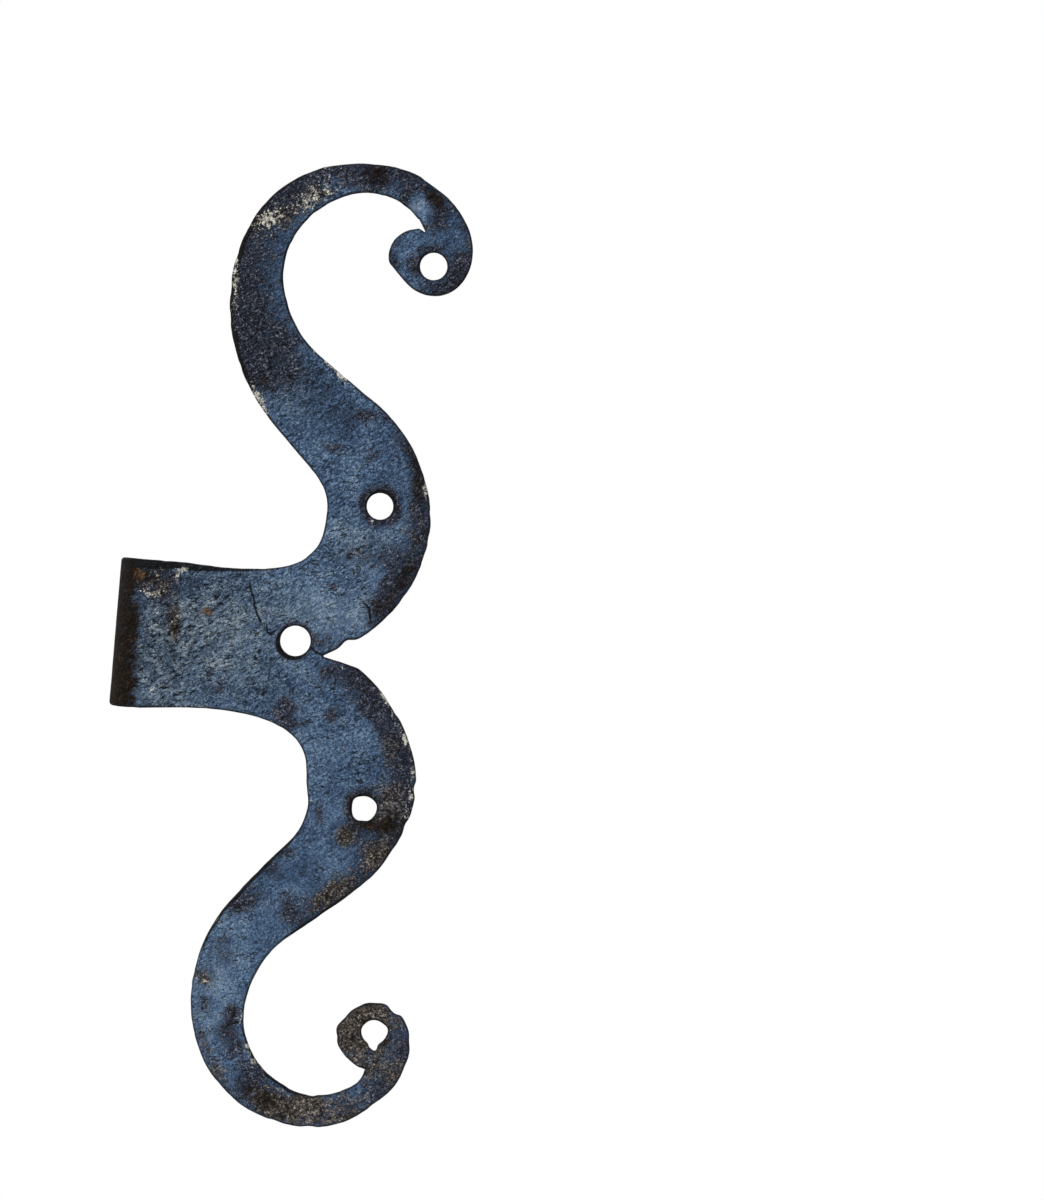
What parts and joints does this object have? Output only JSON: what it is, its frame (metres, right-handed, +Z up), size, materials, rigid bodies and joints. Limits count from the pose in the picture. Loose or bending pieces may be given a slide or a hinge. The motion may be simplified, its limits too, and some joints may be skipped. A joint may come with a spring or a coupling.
{
  "type": "scrolled strap hinge",
  "caption": "Forged iron strap half of a pintle hinge, with a rolled eye and S-curved arms that end in beaked scroll heads pierced for nails.",
  "frame": {"origin": "on the pintle axis, halfway up the rolled eye", "axes": "+Z up along the pintle axis, +X from the eye towards the arms, -Y out of the face that shows when the strap is nailed to a door"},
  "size_m": [0.0852, 0.0164, 0.2495],
  "materials": {
    "forged_iron": "hammered wrought iron with a blue-grey patina, dark brown rust at the edges and pale lime specks"
  },
  "bodies": {
    "root": {"hinge_strap": "forged_iron"}
  },
  "joints": []
}
